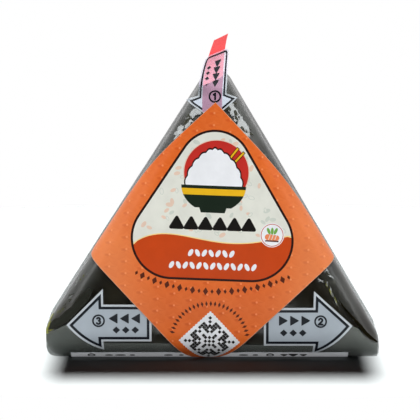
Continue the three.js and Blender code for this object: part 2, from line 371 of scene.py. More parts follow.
def sheetMesh(outline, inks, edge, place, lift, thick, spacing):
    # A thin sheet cut to the outline. inks are (polygon, paint) in its own plane, the last on top, and a
    # triangle takes the topmost one over it. edge is the paint of the rim and the underside, and place
    # bends the plane. Gives the points, faces, the paint of each face, and the points' flat places.
    outline = divided(outline, spacing)
    shapes = [outline] + [divided(shape, spacing) for shape, _ in inks]
    low, high = outline.min(0), outline.max(0)
    steps = [np.arange(low[k] + spacing / 2, high[k], spacing) for k in range(2)]
    grid = np.stack(np.meshgrid(*steps), -1).reshape(-1, 2)
    grid[:, 0] += spacing / 2 * (np.round((grid[:, 1] - low[1]) / spacing) % 2)
    grid = grid[insidePolygon(grid, outline)]
    starts = np.cumsum([0] + [len(s) for s in shapes])
    faces = [list(range(a, b)) for a, b in zip(starts, starts[1:])]
    points = [Vector(p) for p in np.concatenate(shapes + [grid])]
    found = delaunay_2d_cdt(points, [], faces, 1, 1e-5, True)
    flat = np.array([tuple(v) for v in found[0]])
    kept = [(f, owners) for f, owners in zip(found[2], found[5]) if 0 in owners]
    tri = np.array([f for f, _ in kept])
    used, tri = np.unique(tri, return_inverse=True)
    tri = tri.reshape(-1, 3)
    flat = flat[used]
    top = np.array([max(owners) for _, owners in kept])
    names = list(dict.fromkeys([edge] + [name for _, name in inks]))
    inkSlot = np.array([0] + [names.index(name) for _, name in inks])
    edges = np.concatenate([tri[:, [0, 1]], tri[:, [1, 2]], tri[:, [2, 0]]])
    key = np.sort(edges, 1)
    _, where, count = np.unique(key, axis=0, return_index=True, return_counts=True)
    rim = edges[where[count == 1]]
    size = len(flat)
    body = np.concatenate([place(flat, lift), place(flat, lift + thick)])
    walls = np.column_stack([rim[:, 0], rim[:, 1], rim[:, 1] + size, rim[:, 0] + size])
    allFaces = tri[:, ::-1].tolist() + (tri + size).tolist() + walls.tolist()
    slots = np.concatenate([np.zeros(len(tri), int), inkSlot[top], np.zeros(len(walls), int)])
    return body, allFaces, [names[slot] for slot in slots], np.concatenate([flat, flat])


def plainSheet(shape, ink, place, lift, thick, spacing):
    return sheetMesh(shape, [(shape, ink)], ink, place, lift, thick, spacing)


def sheetPiece(name, sheets, node=None):
    # several closed sheets as one piece, which may take the place of a CAD node
    points, faces, owners, flats = [], [], [], []
    for body, sheetFaces, sheetOwners, flat in sheets:
        start = sum(len(part) for part in points)
        faces += [[corner + start for corner in face] for face in sheetFaces]
        owners += sheetOwners
        points.append(body)
        flats.append(flat)
    names = list(dict.fromkeys(owners))
    slots = [names.index(owner) for owner in owners]
    materials = [paint[owner] for owner in names]
    points, flats = np.concatenate(points), np.concatenate(flats)
    made = makeObject(name, points, faces, materials, slots, uv=flats, sharp=50)
    if node:
        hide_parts(node)


def arc(centre, radius, start, end, count):
    # points on a circle from one angle to another, in degrees, or on an ellipse if radius has two numbers
    angle = np.radians(np.linspace(start, end, count))
    return np.asarray(centre) + np.stack([np.cos(angle), np.sin(angle)], -1) * radius


def disc(centre, radius, count=28):
    return arc(centre, radius, 0, 360 - 360 / count, count)


def turned(points, degrees, about=(0, 0)):
    a = math.radians(degrees)
    matrix = np.array([[math.cos(a), math.sin(a)], [-math.sin(a), math.cos(a)]])
    return (np.asarray(points, float) - about) @ matrix + about


def bar(a, b, width):
    # a straight line of even width from a to b
    a, b = np.asarray(a, float), np.asarray(b, float)
    side = np.array([a[1] - b[1], b[0] - a[0]]) / np.linalg.norm(b - a) * width / 2
    return np.array([a + side, a - side, b - side, b + side])


def strokeInks(path, width, ink):
    # a bent line of even width: a bar for each stretch and a disc at each bend
    path = np.asarray(path, float)
    bars = [(bar(a, b, width), ink) for a, b in zip(path, path[1:])]
    return bars + [(disc(point, width / 2, 10), ink) for point in path]


def shrunk(polygon, distance):
    # a polygon moved in by a distance: each edge moves along its normal, and neighbours meet again
    p = np.asarray(polygon, float)
    along = np.roll(p, -1, 0) - p
    along /= np.linalg.norm(along, axis=1, keepdims=True)
    area = cross(p, np.roll(p, -1, 0)).sum()
    inward = np.column_stack([-along[:, 1], along[:, 0]]) * math.copysign(distance, area)
    before, beforeIn = np.roll(along, 1, 0), np.roll(inward, 1, 0)
    bend = cross(before, along)
    straight = abs(bend) < 1e-6
    step = np.where(straight, 0, cross(inward - beforeIn, along) / np.where(straight, 1, bend))
    return p + beforeIn + before * step[:, None]


def hullOfDiscs(discs, count):
    # the outline that runs tangent round discs (x, z, radius), given in order, with count points on each
    points = []
    for k, (x, z, r) in enumerate(discs):
        angles = []
        for other in (discs[k - 1], discs[(k + 1) % len(discs)]):
            dx, dz = other[0] - x, other[1] - z
            lean = math.acos((r - other[2]) / math.hypot(dx, dz))
            angles.append((math.atan2(dz, dx), lean))
        start = angles[0][0] + angles[0][1]
        end = angles[1][0] - angles[1][1]
        end = start + (end - start) % (2 * math.pi)
        points.append(arc((x, z), r, math.degrees(start), math.degrees(end), count))
    return np.concatenate(points)


# Materials

inkLook = dict(vary=0.06, patches=170.0, grain=2200.0, grainDepth=0.0002, bump=0.05)
sheerLook = dict(vary=0.07, patches=240.0)
filmLook = dict(
    rough=0.11, glass=1.5, hazeRough=0.3, hazeShare=0.3,
    ripple=0.1, rippleDepth=0.002, waves=95.0, facets=430.0, facetHeight=1.3,
)
seaweedLook = dict(
    dark=(0.0016, 0.0012, 0.0005, 1), brown=(0.0125, 0.0102, 0.0046, 1), patches=230.0,
    strand=(0.022, 0.022, 0.011, 1), strands=520.0, strandShare=0.3,
    speck=(0.16, 0.17, 0.09, 1), specks=420.0, chances=210.0, leastChance=0.6, speckShare=0.5,
    # milky is the grey of the painted sheen on the seaweed
    milky=(0.1, 0.107, 0.1, 1), grain=1300.0, grainDepth=0.0004, bump=0.16, bumpUnderSheen=-0.3,
)
orangeLook = dict(
    dark=(221, 99, 36), light=(229, 109, 44), patches=75.0, grain=2200.0, grainDepth=0.0002, bump=0.08,
    scales=dict(     # share and colour of each part of the fish scales, the last on top
        Shade=(0.3, (238, 126, 60)), Line=(0.3, (206, 80, 26)),
        Hollow=(0.5, (204, 74, 24)), Dot=(0.62, (252, 160, 104)),
    ),
    # painted sheen: a paler colour mixed in towards both sides of the label
    side=(250, 194, 142), sheenShare=0.2, sheenFrom=0.012, sheenTo=0.032,
)
scaleLook = dict(
    across=4.7, up=3.45, lineHalf=0.09,
    # right of the cusp and up from it, half width, half height: dot, hollow, what is left of the line
    spots=((0.0, 0.0, 0.42, 0.42), (-0.75, -0.25, 0.95, 0.5), (0.0, 0.0, 2.6, 2.0)),
)
colourSockets = dict(a=6, b=7, result=2)      # of a colour Mix node, whose sockets share their names


def linear(colour, share=1.0):
    # sRGB from 0 to 255 to a share of its linear light
    c = np.asarray(colour, float) / 255
    c = np.where(c <= 0.04045, c / 12.92, ((c + 0.055) / 1.055) ** 2.4)
    return (*(c * share), 1.0)


def connect(tree, value, socket):
    # another node's output is linked to the socket, and anything else becomes its value
    if isinstance(value, bpy.types.NodeSocket):
        tree.links.new(value, socket)
    else:
        socket.default_value = value


def feed(tree, node, *values, **named):
    # a name is a setting of the node, or an input with _ for a space; values go to the first inputs
    for key, value in named.items():
        if hasattr(node, key):
            setattr(node, key, value)
        else:
            connect(tree, value, node.inputs[key.replace("_", " ")])
    for socket, value in zip(node.inputs, values):
        connect(tree, value, socket)
    return node


def addNode(tree, kind, *values, **named):
    return feed(tree, tree.nodes.new("ShaderNode" + kind), *values, **named)


def outputOf(tree, kind, *values, **named):
    return addNode(tree, kind, *values, **named).outputs[0]


def mathNode(tree, operation, *values):
    return outputOf(tree, "Math", *values, operation=operation)


def mixColours(tree, factor, a, b):
    node = addNode(tree, "Mix", factor, data_type="RGBA")
    connect(tree, a, node.inputs[colourSockets["a"]])
    connect(tree, b, node.inputs[colourSockets["b"]])
    return node.outputs[colourSockets["result"]]


def newGroup(name, outputs, **numbers):
    # a group that takes a vector and some numbers, given with their usual values, and puts out numbers
    tree = bpy.data.node_groups.new(name, "ShaderNodeTree")
    tree.interface.new_socket("Vector", in_out="INPUT", socket_type="NodeSocketVector")
    for label, value in numbers.items():
        socket = tree.interface.new_socket(label, in_out="INPUT", socket_type="NodeSocketFloat")
        socket.default_value = value
    for label in outputs:
        tree.interface.new_socket(label, in_out="OUTPUT", socket_type="NodeSocketFloat")
    return tree, tree.nodes.new("NodeGroupInput").outputs, tree.nodes.new("NodeGroupOutput").inputs


def mottleGroup():
    # soft uneven patches: noise stretched to the whole range from 0 to 1
    tree, given, result = newGroup("mottle", ["Mask"], Scale=100.0)
    noise = outputOf(tree, "TexNoise", Vector=given[0], Scale=given[1], Detail=3.0, Roughness=0.6)
    connect(tree, outputOf(tree, "MapRange", Value=noise, From_Min=0.32, From_Max=0.68), result[0])
    return tree


def grainGroup():
    # fine grain for bump: noise, and broader noise with 0.23 of its scale and 1.5 times its height
    tree, given, result = newGroup("grain", ["Height"], Scale=1500.0)
    fine = outputOf(tree, "TexNoise", Vector=given[0], Scale=given[1], Detail=2.0)
    broadScale = mathNode(tree, "MULTIPLY", given[1], 0.23)
    broad = outputOf(tree, "TexNoise", Vector=given[0], Scale=broadScale, Detail=1.0)
    connect(tree, mathNode(tree, "MULTIPLY_ADD", broad, 1.5, fine), result[0])
    return tree


mottle = mottleGroup()
grain = grainGroup()


def useGroup(tree, group, coords, scale):
    return outputOf(tree, "Group", node_tree=group, Vector=coords, Scale=scale)


def grainNormal(tree, coords, look, strength):
    height = useGroup(tree, grain, coords, look["grain"])
    return outputOf(tree, "Bump", Strength=strength, Distance=look["grainDepth"], Height=height)


def newMaterial(name):
    material = bpy.data.materials.new(name)
    material.use_nodes = True
    tree = material.node_tree
    tree.nodes.clear()
    shader = addNode(tree, "BsdfPrincipled")
    output = addNode(tree, "OutputMaterial", shader.outputs[0])
    return material, tree, shader, output, addNode(tree, "TexCoord").outputs["Object"]


def inkMaterial(name, colour, rough, paintedGlow=0.0):
    # print on coated paper or film: nearly even colour with slight patches and a fine grain;
    # the last setting is a painted glow, an emission as if light came through from behind
    material, tree, shader, _, coords = newMaterial(name)
    patches = useGroup(tree, mottle, coords, inkLook["patches"])
    dark, light = [linear(colour, 1 + share * inkLook["vary"]) for share in (-1, 0.5)]
    normal = grainNormal(tree, coords, inkLook, inkLook["bump"])
    feed(tree, shader, Base_Color=mixColours(tree, patches, dark, light), Roughness=rough, Normal=normal)
    if paintedGlow:
        feed(tree, shader, Emission_Color=linear(colour), Emission_Strength=paintedGlow)
    return material


def sheerMaterial(name, colour, alpha, rough):
    # thin tinted film that lets part of what is behind it through
    material, tree, shader, _, coords = newMaterial(name)
    patches = useGroup(tree, mottle, coords, sheerLook["patches"])
    body = mixColours(tree, patches, linear(colour, 1 - sheerLook["vary"]), linear(colour))
    feed(tree, shader, Base_Color=body, Roughness=rough, Alpha=alpha)
    return material


def filmMaterial(look):
    # clear film: glass for the eye with a share of rougher glass for its haze, and open to the shadow rays
    # so that the light reaches the contents; gentle ripples, and sharp facets where the field crinkle is
    material, tree, shader, output, coords = newMaterial("clearFilm")
    wide = outputOf(tree, "TexNoise", Vector=coords, Scale=look["waves"], Detail=2.0, Roughness=0.45)
    facets = outputOf(tree, "TexVoronoi", Vector=coords, Scale=look["facets"])
    sharp = mathNode(tree, "MULTIPLY", facets, look["facetHeight"])
    crinkle = addNode(tree, "Attribute", attribute_name="crinkle").outputs["Fac"]
    height = mathNode(tree, "MULTIPLY_ADD", sharp, crinkle, wide)
    normal = outputOf(tree, "Bump", Strength=look["ripple"], Distance=look["rippleDepth"], Height=height)
    feed(tree, shader, Base_Color=(1, 1, 1, 1), Roughness=look["rough"], IOR=look["glass"])
    feed(tree, shader, Transmission_Weight=1.0, Normal=normal)
    milky = outputOf(tree, "BsdfGlass", Roughness=look["hazeRough"], IOR=look["glass"], Normal=normal)
    glass = outputOf(tree, "MixShader", look["hazeShare"], shader.outputs[0], milky)
    isShadow = addNode(tree, "LightPath").outputs["Is Shadow Ray"]
    feed(tree, output, outputOf(tree, "MixShader", isShadow, glass, outputOf(tree, "BsdfTransparent")))
    return material


def seaweedMaterial(look):
    # dry seaweed: near black with brown patches, tangled fibres and a few pale specks, and a painted sheen:
    # its colour is greyed where its painted-sheen field is high, as if the film over it caught the light
    material, tree, shader, _, coords = newMaterial("seaweed")
    body = mixColours(tree, useGroup(tree, mottle, coords, look["patches"]), look["dark"], look["brown"])
    fibre = outputOf(tree, "TexNoise", Vector=coords, Scale=look["strands"], Detail=3.0, Distortion=1.6)
    strands = outputOf(tree, "MapRange", Value=fibre, From_Min=0.55, From_Max=0.75)
    body = mixColours(tree, mathNode(tree, "MULTIPLY", strands, look["strandShare"]), body, look["strand"])
    cells = outputOf(tree, "TexVoronoi", Vector=coords, Scale=look["specks"])
    near = outputOf(tree, "MapRange", Value=cells, From_Min=0.16, From_Max=0.05)
    chance = outputOf(tree, "TexNoise", Vector=coords, Scale=look["chances"])
    specks = mathNode(tree, "MULTIPLY", near, mathNode(tree, "GREATER_THAN", chance, look["leastChance"]))
    body = mixColours(tree, mathNode(tree, "MULTIPLY", specks, look["speckShare"]), body, look["speck"])
    # painted sheen of the film, mixed into the seaweed's colour as a light grey
    haze = addNode(tree, "Attribute", attribute_name="haze").outputs["Fac"]
    body = mixColours(tree, haze, body, look["milky"])
    strength = mathNode(tree, "MULTIPLY_ADD", haze, look["bumpUnderSheen"], look["bump"])
    normal = grainNormal(tree, coords, look, strength)
    feed(tree, shader, Base_Color=body, Roughness=0.8, Specular_IOR_Level=0.0, Normal=normal)
    return material


def scaleGroup():
    # fish scales on a flat sheet in millimetres: columns one pitch apart, every other one half a row up.
    # Each line is a U from cusp to cusp: it drops sqrt(1 - (1 - x)^2) of half a row on its way to the next
    # column, and fades away from its cusp, where there is a raised dot with a small hollow beside it.
    tree, given, result = newGroup(
        "fishScales", ["Line", "Dot", "Hollow", "Shade"], Across=scaleLook["across"], Up=scaleLook["up"])

    def calc(operation, *values):
        return mathNode(tree, operation, *values)

    parts = addNode(tree, "SeparateXYZ", given[0]).outputs
    across, up = calc("DIVIDE", parts[0], given[1]), calc("DIVIDE", parts[1], given[2])
    column = calc("ROUND", across)
    side = calc("SUBTRACT", across, column)
    x = calc("ABSOLUTE", side)
    height = calc("MULTIPLY_ADD", calc("PINGPONG", column, 1.0), 0.5, up)
    lines, places = [], []
    for shift, reach in ((0.0, x), (0.5, calc("SUBTRACT", 1.0, x))):
        left = calc("SUBTRACT", 1.0, reach)
        drop = calc("SQRT", calc("SUBTRACT", 1.0, calc("MULTIPLY", left, left)))
        place = calc("FRACT", calc("ADD", calc("MULTIPLY_ADD", drop, 0.5, height), shift))
        near = calc("ABSOLUTE", calc("SUBTRACT", place, 0.5))
        lines.append(outputOf(tree, "MapRange", Value=near, From_Min=scaleLook["lineHalf"], From_Max=0.0))
        places.append(place)
    rise = calc("SUBTRACT", calc("FRACT", height), 0.5)
    spots = []
    for rightBy, upBy, wide, high in scaleLook["spots"]:
        dx = calc("DIVIDE", calc("MULTIPLY_ADD", side, given[1], -rightBy), wide)
        dy = calc("DIVIDE", calc("MULTIPLY_ADD", rise, given[2], -upBy), high)
        square = calc("MULTIPLY_ADD", dx, dx, calc("MULTIPLY", dy, dy))
        spot = addNode(tree, "MapRange", interpolation_type="SMOOTHSTEP", Value=square)
        spots.append(feed(tree, spot, From_Min=1.0, From_Max=0.0).outputs[0])
    dot, hollow, nearCusp = spots
    line = calc("MULTIPLY", calc("MAXIMUM", *lines), nearCusp)
    for value, socket in zip((line, dot, hollow, places[0]), result):
        connect(tree, value, socket)
    return tree


def orangeMaterial(look):
    # the label's orange: fish scales in slightly darker lines with pale dots, over uneven patches,
    # and a painted sheen that makes it paler towards the two sides
    material, tree, shader, _, coords = newMaterial("orangePrint")
    sheet = outputOf(tree, "UVMap", uv_map="sheet")
    scales = addNode(tree, "Group", node_tree=scaleGroup(), Vector=sheet)
    patches = useGroup(tree, mottle, coords, look["patches"])
    body = mixColours(tree, patches, linear(look["dark"]), linear(look["light"]))
    for output, (share, colour) in look["scales"].items():
        mask = mathNode(tree, "MULTIPLY", scales.outputs[output], share)
        body = mixColours(tree, mask, body, linear(colour))
    # painted sheen: paler towards the two sides, by the distance from the middle
    across = mathNode(tree, "ABSOLUTE", outputOf(tree, "SeparateXYZ", coords))
    side = addNode(tree, "MapRange", interpolation_type="SMOOTHSTEP", Value=across)
    feed(tree, side, From_Min=look["sheenFrom"], From_Max=look["sheenTo"])
    sheenShare = mathNode(tree, "MULTIPLY", side.outputs[0], look["sheenShare"])
    body = mixColours(tree, sheenShare, body, linear(look["side"]))
    normal = grainNormal(tree, coords, look, look["bump"])
    feed(tree, shader, Base_Color=body, Roughness=0.36, Normal=normal)
    return material


# the last number, where there is one, is a painted glow: an emission that stands in for light
inkColours = dict(     # colour from 0 to 255, roughness, glow
    paperEdge=((222, 176, 150), 0.6),
    lineDark=((30, 12, 10), 0.4),
    creamPrint=((228, 229, 219), 0.4),
    peachPrint=((232, 204, 184), 0.4),
    greyGreenPrint=((208, 214, 204), 0.4),
    rustPrint=((199, 70, 20), 0.36),
    paleYellowPrint=((250, 222, 150), 0.4),
    redPrint=((196, 46, 38), 0.38),
    whitePrint=((240, 242, 246), 0.4),
    blackPrint=((18, 16, 14), 0.38),
    yellowPrint=((236, 184, 30), 0.38),
    darkGreenPrint=((22, 34, 24), 0.38),
    brownPrint=((84, 32, 14), 0.4),
    salmonPrint=((238, 138, 92), 0.4),
    leafPrint=((112, 168, 70), 0.4),
    # painted glow: the white strip emits a little light of its own
    stripWhitePaintedGlow=((240, 242, 246), 0.4, 0.1),
    whiteEdge=((226, 230, 236), 0.5),
    paleLineOnFilm=((196, 203, 209), 0.3),
    blackOnFilm=((14, 18, 26), 0.3),
    greyOnFilm=((174, 184, 193), 0.3),
    paleGreyOnFilm=((214, 223, 236), 0.3),
    tapeUnderPrint=((184, 146, 170), 0.3),
    # painted glow: the red tape emits light as if lit through from behind
    tapeRedPaintedGlow=((255, 92, 94), 0.35, 0.3),
    tapeBehindFilm=((205, 60, 66), 0.3),
)
sheerColours = dict(     # colour, opacity, roughness
    tailFilm=((240, 232, 255), 0.34, 0.3),
    # painted sheen: the grey of film folded over the seaweed
    foldedFilmPaintedSheen=((118, 123, 119), 0.36, 0.3),
    tuckedFilm=((88, 92, 89), 0.24, 0.3),
    # painted glint: whitish highlights of crinkled film
    paintedCrinkleGlint=((228, 232, 232), 0.44, 0.25),
    # painted shade among the crinkles
    crinkleShade=((62, 62, 48), 0.55, 0.4),
    tornSeaweed=((150, 152, 66), 0.7, 0.5),
    shadedFilm=((88, 93, 89), 0.45, 0.6),
    shadedSeaweed=((26, 27, 19), 0.8, 0.8),
)
paint = {name: inkMaterial(name, *look) for name, look in inkColours.items()}
paint |= {name: sheerMaterial(name, *look) for name, look in sheerColours.items()}
paint["orangePrint"] = orangeMaterial(orangeLook)
paint["clearFilm"] = filmMaterial(filmLook)
paint["seaweed"] = seaweedMaterial(seaweedLook)
print("materials made")


# Contents and film

# grid: columns along an edge and round a corner, rows over the front, round the bend and down the side
nori = dict(
    grid=(64, 28, 30, 16, 10), under=0.5,
    bumps=((0.16, 4.2, 3), (0.09, 1.9, 4)),      # height, cell and seed of the noise
    # strength of the painted sheen and what it fades over: heights z, places x, depths y, distance in from an
    # edge
    foot=0.3, footZ=(8.5, 4.0), footX=(-45, -28), footLeast=0.2,
    top=0.45, topZ=(55, 68), topRight=0.35, topRightZ=(52, 66), topRightX=(-14, 2), topY=(2, -10),
    slope=0.5, rightIn=(8, 2), rightZ=(10, 17), leftIn=(7, 1.5), leftZ=(13, 22), slopeY=(-8, -14),
    behind=0.07, behindY=(-15, -7),
    patchy=((0.25, 5.0, 7), (0.25, 1.7, 8)), patchyLeast=0.75,
)
slack = dict(
    grid=(72, 28, 36, 24, 14), thick=0.05, dent=0.14, dentCell=8.0, dentSeed=21, dentStretch=(1, 1, 0.8),
    # x, z, reach along x and z, strength: where the film in front is crumpled
    crinkled=((8.6, 69.5, 4.2, 8.0, 1.0), (-7.6, 69.5, 4.2, 8.0, 1.0), (33.2, 22.5, 3.4, 5.5, 0.8),
              (39.5, 12.5, 4.0, 4.5, 0.5), (-44.0, 12.5, 4.0, 5.0, 0.25)),
)


def noises(points, settings):
    return sum(share * latticeNoise(points, cell, seed) for share, cell, seed in settings)


def noriHeight(points):
    # the seaweed lies under the film, and rice grains press through it: two sizes of smooth noise
    return noises(points, nori["bumps"]) - nori["under"]


def noriFields(points):
    # the field of painted sheen: the seaweed is painted greyer, as if the film over it caught the light,
    # over the bend at the foot, over the apex and along both slopes
    n = nori
    x, y, z = points.T
    inside = insideBy(points[:, [0, 2]])
    foot = n["foot"] * smooth(*n["footZ"], z)
    foot = foot * (n["footLeast"] + (1 - n["footLeast"]) * smooth(*n["footX"], x))
    top = n["top"] * smooth(*n["topZ"], z)
    top = top + n["topRight"] * smooth(*n["topRightZ"], z) * smooth(*n["topRightX"], x)
    right = smooth(*n["rightIn"], inside[:, 1]) * smooth(*n["rightZ"], z)
    left = smooth(*n["leftIn"], inside[:, 2]) * smooth(*n["leftZ"], z)
    slope = n["slope"] * np.maximum(right, left) * smooth(*n["slopeY"], y)
    slope = slope + n["behind"] * smooth(*n["behindY"], y)
    haze = np.maximum(foot, np.maximum(top * smooth(*n["topY"], y), slope))
    return dict(haze=np.clip(haze * (n["patchyLeast"] + noises(points, n["patchy"])), 0, 1))


def filmDents(points):
    # the film is slack between its folds: it lies a little under its own outline, by noise from 0 to dent
    noise = latticeNoise(points * slack["dentStretch"], slack["dentCell"], slack["dentSeed"])
    return -slack["dent"] * (0.5 + 0.5 * noise)


def filmFields(points):
    # crinkle: bell-shaped spots on the front
    total = np.zeros(len(points))
    for x, z, reachX, reachZ, strength in slack["crinkled"]:
        total += strength * np.exp(-((points[:, 0] - x) / reachX) ** 2 - ((points[:, 2] - z) / reachZ) ** 2)
    return dict(crinkle=np.clip(total, 0, 1) * (points[:, 1] < 0))


def packShell(name, grid, height, fields, material):
    # the pack's surface moved along its own normals by height(points), with fields(points) on its points
    rows, poles = packSurface(*grid)
    raised = rows + gridNormals(rows) * height(rows)[..., None]
    poles = poles + np.array([(0, -1, 0), (0, 1, 0)]) * height(poles)[:, None]
    points, faces = closedGrid(raised, poles)
    return makeObject(name, points, faces, [material], fields=fields(points))


contents = packShell("seaweedWrap", nori["grid"], noriHeight, noriFields, paint["seaweed"])
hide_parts("wrapped_body")
clear = packShell("clearFilm", slack["grid"], filmDents, filmFields, paint["clearFilm"])
wall = clear.modifiers.new("wall", "SOLIDIFY")
wall.thickness = slack["thick"] * mm
wall.offset = -1
print("seaweed and film made")


# Print: flat shapes that the sheets below share

def ellipse(centre, radii, tilt=0, count=14):
    return turned(arc(centre, radii, 0, 360 - 360 / count, count), tilt, centre)


def lozenge(centre, width, height, tilt=0):
    x, z = centre
    corners = [(x - width / 2, z), (x, z - height / 2), (x + width / 2, z), (x, z + height / 2)]
    return turned(corners, tilt, centre)


def rectangle(left, right, low, high):
    return np.array([(left, low), (right, low), (right, high), (left, high)])


def triangle(centre, size, point=90, radius=0.15):
    # a triangle with rounded corners that points in a direction, in degrees
    corners = arc(centre, size, point, point + 240, 3)
    return hullOfDiscs([(*corner, radius) for corner in corners], count=4)


def clipped(polygon, height, slope, keepAbove):
    # the part of a polygon above or below the line z = height + slope x: edges that cross it are cut there
    sign = 1 if keepAbove else -1
    kept = []
    for a, b in zip(polygon, np.roll(polygon, -1, 0)):
        da, db = [sign * (p[1] - height - slope * p[0]) for p in (a, b)]
        if da >= 0:
            kept.append(a)
        if da * db < 0:
            kept.append(a + (b - a) * da / (da - db))
    return np.array(kept)


def belowCurve(polygon, curve, count=40):
    # the part of a polygon below z = curve(x): its own lower points, then the curve from right to left
    low = polygon[:, 1] < curve(polygon[:, 0])
    first = np.flatnonzero(low & ~np.roll(low, 1))[0]
    lower = np.roll(polygon, -first, 0)[:low.sum()]
    x = np.linspace(lower[-1, 0], lower[0, 0], count)[1:-1]
    return np.concatenate([lower, np.column_stack([x, curve(x)])])


digits = dict(
    width=0.58, height=0.6, ringLine=0.5,
    paths={
        "1": [(-0.34, 0.42), (0.08, 0.8), (0.08, -0.8)],
        "2": np.concatenate([arc((0, 0.33), 0.45, 165, -35, 8), [(-0.48, -0.76), (0.52, -0.76)]]),
        "3": np.concatenate([arc((-0.03, 0.38), 0.4, 150, -75, 8), arc((-0.03, -0.36), 0.47, 75, -150, 9)]),
    },
)


def circledDigit(centre, radius, digit, fill, ring="blackOnFilm"):
    # a plain number in a ring, as on any pack that opens in numbered steps
    path = np.asarray(centre) + np.asarray(digits["paths"][digit]) * radius * digits["height"]
    inks = [(disc(centre, radius), ring), (disc(centre, radius - digits["ringLine"]), fill)]
    return inks + strokeInks(path, digits["width"], ring)


# Front label

label = dict(
    side=56.15, middle=(0.18, -0.39), x=-0.74, z=34.74, turn=-2.2, margin=0.1,
    sheet=dict(lift=0.14, thick=0.1, spacing=0.8),
)
panel = dict(
    discs=[(0.7, 21.0, 10.5), (-10.7, 0.2, 11.7), (12.2, 0.2, 11.7)],  # x, z, radius: the outline round them
    line=0.65,
    wave=[(-21.5, -1.7), (-12.7, 1.3), (-3.4, 0.3), (8.5, -0.7), (23.0, 2.0)],
    waveLine=0.32,
)
grains = dict(
    count=130, seed=11, low=(-20, -1), high=(21, 30), sizes=(0.75, 1.15), halfWidth=0.55, halfLength=0.95,
    clear=1.2, overWave=1.4, line=0.17,
)
bowl = dict(
    sun=(1.2, 19.3), sunRadius=9.4, sunLine=0.25,
    sticks=(((2.0, 19.5), (7.2, 26.6)), ((3.7, 19.5), (8.9, 25.41))), stickWidth=0.95, stickLine=0.2,
    middle=(0.6, 15.2), heapHalf=8.2, heapHeight=11.0, bumps=11, bump=0.045, roundness=0.38, heapLine=0.045,
    rimHeight=0.4, radii=(9.2, 7.6), side=(180, 236, 12), band=(187, 201, 6),
    foot=[(-2.8, 7.9), (4.0, 7.9), (4.5, 9.4), (-3.3, 9.4)],
)
badge = dict(
    centre=(17.7, 2.1), rings=((3.45, "whitePrint"), (3.23, "rustPrint"), (3.03, "whitePrint")),
    leaves=((-1.0, 24), (0.0, 0), (1.0, -24)), leafUp=1.15, leafRadii=(0.42, 1.0),
    slice=((-1.2, -0.55, 0.85), (1.35, -0.75, 0.75)), plate=((-1.9, -1.62), (1.9, -1.72), 0.42),
    stripes=(-1.0, -0.1, 0.8), stripe=((0, -1.3), (0.45, 0.05), 0.2),
)
stamp = dict(
    centre=(1.06, -29.0), side=12.1, scallops=6.5, scallop=0.035, edgePoints=78,
    cells=13, cellsShare=0.86, cellShare=0.96, pattern=(0, 3, 4),
)
markRows = dict(
    title=dict(middle=(0.73, 4.35), count=6, pitch=4.1, size=1.85, radius=0.5),
    lines=((7, 0.63, -3.66), (13, 1.19, -7.3)), grain=(0.62, 1.12), tilt=28, pitch=1.95,
    # the arc of words, and the one round the stamp: middle, radius, first and last angle, two sizes of mark
    arcs=(((0.9, 37.6), 52.2, -114.05995, -65.09254, ((0.9, 1.4), (1.5, 2.3))),
          ((1.06, -29.0), 10.9, 12, 168, ((0.75, 1.6), (0.75, 1.6)))),
    marks=25,
)


def onLabel(points, lift):
    # label coordinates to the front: turned by the label's own turn about its middle, then wrapped
    return wrapFront(turned(points, label["turn"]) + (label["x"], label["z"]), lift)


def panelWave(x):
    # the wave between cream and rust: the quartic through five points
    return np.polyval(np.polyfit(*np.array(panel["wave"]).T, 4), x)


def grainInks(inside):
    # rice grains scattered over the cream, some filled and some only outlined
    g = grains
    rng = np.random.default_rng(g["seed"])
    around = g["clear"] * np.array([(0, -1), (1, 0), (-1, 0), (0, 1)])
    inks = []
    while len(inks) < g["count"]:
        centre = rng.uniform(g["low"], g["high"])
        tilt, size, kind = rng.uniform(0, 180), rng.uniform(*g["sizes"]), rng.integers(3)
        tooLow = centre[1] < panelWave(centre[0]) + g["overWave"]
        if tooLow or not insidePolygon(centre + around, inside).all():
            continue
        shape = ellipse(centre, (g["halfWidth"] * size, g["halfLength"] * size), tilt)
        inks.append((shape, "peachPrint" if kind == 0 else "greyGreenPrint"))
        if kind == 2:
            inks.append((shrunk(shape, g["line"]), "creamPrint"))
    return inks


def bowlInks():
    # a heaped rice bowl before a red sun, with two chopsticks: stands where the pack had a picture
    b = bowl
    x, rim = b["middle"]
    inks = [(disc(b["sun"], b["sunRadius"], count=64), "peachPrint"),
            (disc(b["sun"], b["sunRadius"] - b["sunLine"], count=64), "redPrint")]
    for ends in b["sticks"]:
        stick = bar(*ends, b["stickWidth"])
        inks += [(stick, "lineDark"), (shrunk(stick, b["stickLine"]), "yellowPrint")]
    angle = np.radians(np.linspace(0, 180, 121))
    bump = 1 + b["bump"] * abs(np.sin(angle * b["bumps"]))
    spread = np.cos(angle) * (1 - b["roundness"] + b["roundness"] * abs(np.cos(angle)))
    heap = np.column_stack([b["heapHalf"] * bump * spread, b["heapHeight"] * bump * np.sin(angle)])
    inks += [(heap + b["middle"], "lineDark"), (heap * (1 - b["heapLine"]) + b["middle"], "whitePrint")]
    for (start, end, count), ink in ((b["side"], "darkGreenPrint"), (b["band"], "yellowPrint")):
        # a stretch of the bowl's ellipse on the left, and its mirror image at 180 degrees minus the angle
        both = [arc((x, rim + b["rimHeight"]), b["radii"], *ends, count)
                for ends in ((start, end), (180 - end + 360, 180 - start + 360))]
        inks.append((np.concatenate(both), ink))
    return inks + [(b["foot"], "darkGreenPrint")]


